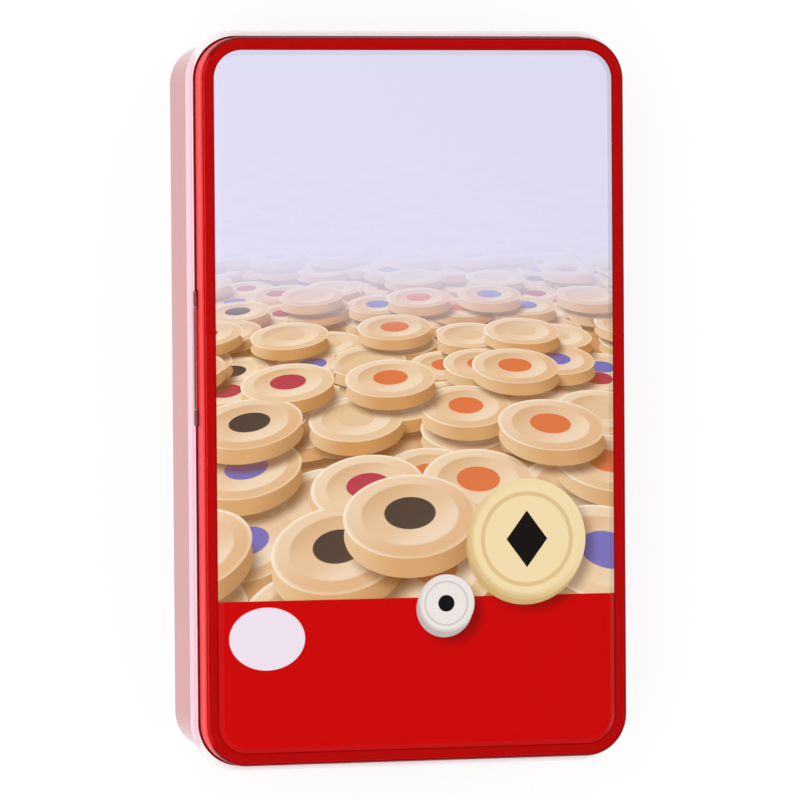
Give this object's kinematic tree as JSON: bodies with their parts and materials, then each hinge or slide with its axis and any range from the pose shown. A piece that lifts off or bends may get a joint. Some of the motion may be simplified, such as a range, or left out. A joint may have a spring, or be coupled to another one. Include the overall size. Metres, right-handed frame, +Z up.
{
  "type": "rummy tile case",
  "caption": "Printed hinged tin case with rounded corners, a raised lid panel and a beaded base, holding a tray of numbered tiles, tile racks and a die.",
  "frame": {"origin": "under the middle of the closed case, on the surface that it rests on", "axes": "+Z up out of the lid, +Y along the long sides towards the top of the lid's picture, +X across to the opening side, away from the hinge"},
  "size_m": [0.118, 0.194, 0.048],
  "materials": {
    "tin_print": "gloss red print on tinplate, bare tin inside",
    "lid_print": null,
    "wire": "drawn steel wire",
    "leaflet": "folded uncoated paper",
    "tray": "thermoformed black sheet",
    "die": "polished white resin with black pips",
    "rack": "moulded ivory plastic",
    "tile": "satin cream plastic with printed numbers"
  },
  "bodies": {
    "base": {"base_tin": "tin_print", "hinge_wire": "wire", "rules_leaflet": "leaflet", "insert_tray": "tray", "die": "die", "rack_1": "rack", "rack_2": "rack", "rack_3": "rack", "rack_4": "rack", "tile_stack_01": "tile", "tile_stack_02": "tile", "tile_stack_03": "tile", "tile_stack_04": "tile", "tile_stack_05": "tile", "tile_stack_06": "tile", "tile_stack_07": "tile", "tile_stack_08": "tile", "tile_stack_09": "tile", "tile_stack_10": "tile", "tile_stack_11": "tile"},
    "lid": {"lid_tin": "lid_print"}
  },
  "joints": [
    {"name": "lid_hinge", "type": "hinge", "parent": "base", "child": "lid", "pos_m": [-0.0573, 0.0115, 0.0403], "axis": [0, -1, 0], "range_deg": [0, 110]}
  ]
}
